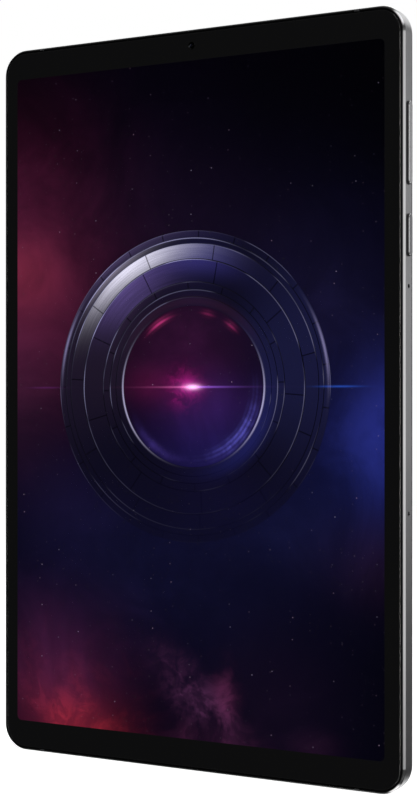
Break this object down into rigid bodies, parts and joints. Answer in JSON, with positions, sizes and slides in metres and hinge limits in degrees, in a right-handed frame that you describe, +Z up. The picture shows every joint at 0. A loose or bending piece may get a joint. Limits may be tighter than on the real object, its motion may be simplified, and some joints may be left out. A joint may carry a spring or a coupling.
{
  "type": "tablet computer",
  "caption": "Small tablet computer standing upright in portrait, with a black-bordered glass screen, slim metal body, side buttons, rear camera island and a USB-C socket.",
  "frame": {"origin": "middle of the bottom edge, under the middle of the body's thickness, with the tablet upright in portrait", "axes": "+Z up along the long side, +X to the viewer's right when facing the screen, -Y the way the screen faces"},
  "size_m": [0.1302, 0.0091, 0.2085],
  "materials": {
    "anodised_grey": "bead-blasted and anodised dark grey, with a polished chamfer round the front",
    "button_grey": "anodised dark grey, satin, with polished edges",
    "power_grey": "anodised darker grey, satin",
    "antenna_plastic": "moulded radio window, matt, a shade darker than the metal",
    "island_glass": "gloss black",
    "ring_metal": "turned and polished",
    "lens_glass": "coated lens glass, dark with a faint blue reflection",
    "flash_plastic": "milky diffuser",
    "black_trim": "fine matt black",
    "cover_glass": "clear, polished, eased edge",
    "bezel_ink": "black ink under the glass",
    "foam_black": "soft black foam and adhesive",
    "touch_film": "clear film",
    "display_panel": "liquid-crystal panel, lit, showing a space wallpaper",
    "chip_black": "moulded epoxy",
    "flex_amber": "polyimide film with copper tracks",
    "film_white": "white optical film",
    "guide_clear": "clear acrylic sheet",
    "led_yellow": "phosphor over small light-emitting diodes",
    "frame_metal": "die-cast and machined, matt",
    "tin_steel": "thin stamped sheet, satin",
    "screw_steel": "bright zinc",
    "copper": "bare copper",
    "graphite": "grey-black graphite film",
    "battery_foil": "laminated pouch foil with a dark wrap",
    "tape_white": "stretch-release tape",
    "board_green": "solder mask over fibreglass",
    "pad_grey": "soft gap-filler pad",
    "black_plastic": "moulded, fine matt",
    "mesh_grey": "fine woven mesh",
    "gold_plate": "gold-plated pattern on plastic"
  },
  "bodies": {
    "case": {"housing": "anodised_grey", "antenna_window": "antenna_plastic", "antenna_bands": "antenna_plastic", "camera_island": "anodised_grey", "camera_window": "island_glass", "lens_rings": "ring_metal", "lens_covers": "cover_glass", "flash_lens": "flash_plastic", "front_trim_ring": "black_trim", "cover_glass": "cover_glass", "bezel_print": "bezel_ink", "glass_adhesive": "foam_black", "touch_sensor": "touch_film", "lcd_cell": "display_panel", "display_driver_chip": "chip_black", "display_flex": "flex_amber", "diffuser_films": "film_white", "light_guide": "guide_clear", "reflector_sheet": "film_white", "led_strip": "led_yellow", "backlight_tray": "frame_metal", "mid_frame": "frame_metal", "frame_screws": "screw_steel", "vapor_chamber": "copper", "graphite_sheet": "graphite", "battery_cell_left": "battery_foil", "battery_cell_right": "battery_foil", "battery_adhesive": "tape_white", "battery_board": "board_green", "mainboard": "board_green", "board_screws": "screw_steel", "soc_chip": "chip_black", "storage_chip": "chip_black", "thermal_pad": "pad_grey", "soc_shield": "tin_steel", "rf_shield": "tin_steel", "sub_board": "board_green", "link_flex": "flex_amber", "usb_c_shell": "screw_steel", "usb_c_tongue": "black_plastic", "speaker_top": "black_plastic", "speaker_bottom": "black_plastic", "speaker_meshes": "mesh_grey", "haptic_can": "tin_steel", "front_camera": "black_plastic", "front_camera_lens": "lens_glass", "main_camera_holder": "black_plastic", "macro_camera": "black_plastic", "flash_led": "led_yellow", "light_sensor": "black_plastic", "microphones": "gold_plate", "mic_gaskets": "foam_black", "side_switches": "tin_steel", "switch_bracket": "tin_steel", "button_flex": "flex_amber", "wifi_antennas": "gold_plate"},
    "volume_rocker": {"volume_rocker": "button_grey"},
    "power_button": {"power_button": "power_grey"},
    "haptic_mass": {"haptic_mass": "screw_steel"},
    "autofocus_lens": {"autofocus_lens": "lens_glass"}
  },
  "joints": [
    {"name": "volume_rock", "type": "hinge", "parent": "case", "child": "volume_rocker", "pos_m": [0.0634, -0.001, 0.17205], "axis": [0, 1, 0], "range_deg": [-1.2, 1.2], "stiffness_Nm_per_rad": 0.6},
    {"name": "power_press", "type": "slide", "parent": "case", "child": "power_button", "axis": [-1, 0, 0], "range_m": [0, 0.00025], "stiffness_N_per_m": 6400},
    {"name": "haptic_shake", "type": "slide", "parent": "case", "child": "haptic_mass", "axis": [1, 0, 0], "range_m": [-0.0005, 0.0005], "stiffness_N_per_m": 1700},
    {"name": "autofocus_travel", "type": "slide", "parent": "case", "child": "autofocus_lens", "axis": [0, 1, 0], "range_m": [0, 0.00025], "stiffness_N_per_m": 100}
  ]
}
